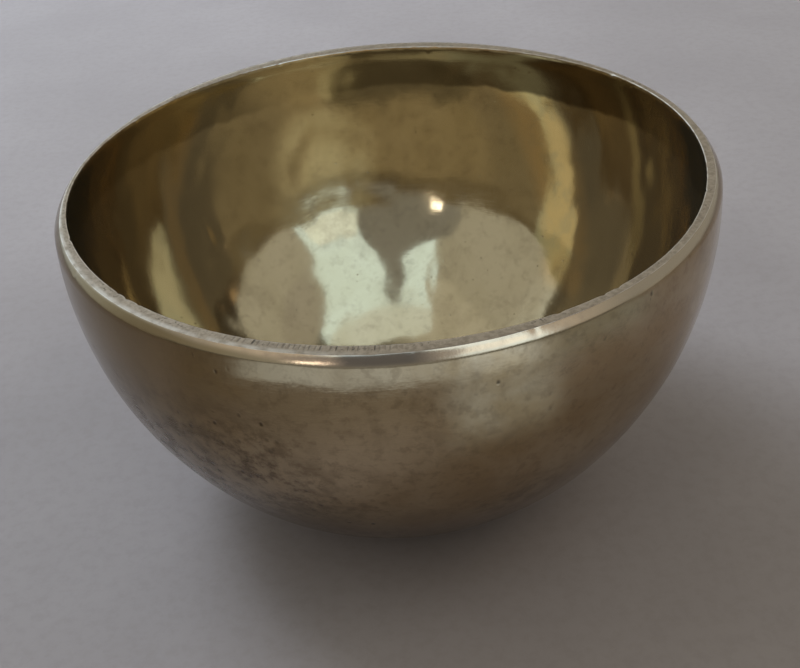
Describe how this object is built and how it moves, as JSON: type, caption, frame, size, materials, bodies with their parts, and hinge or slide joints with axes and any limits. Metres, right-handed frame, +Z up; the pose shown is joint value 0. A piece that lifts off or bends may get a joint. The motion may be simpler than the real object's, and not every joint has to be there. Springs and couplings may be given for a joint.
{
  "type": "singing bowl",
  "caption": "Hammered bronze singing bowl with a thick flat ground rim, a rounded outer lip, curved walls and a small flat base to rest on.",
  "frame": {"origin": "on the bowl's axis, in the plane of the flat base that it rests on", "axes": "+Z up along the bowl's axis, through the mouth; the bowl is round, so X and Y are any two level directions"},
  "size_m": [0.165, 0.165, 0.0915],
  "materials": {
    "bronze": "hand-hammered and satin-polished high-tin bronze, olive-gold, with light brown tarnish, fine scratches and a ground rim"
  },
  "bodies": {
    "root": {"bowl": "bronze"}
  },
  "joints": []
}
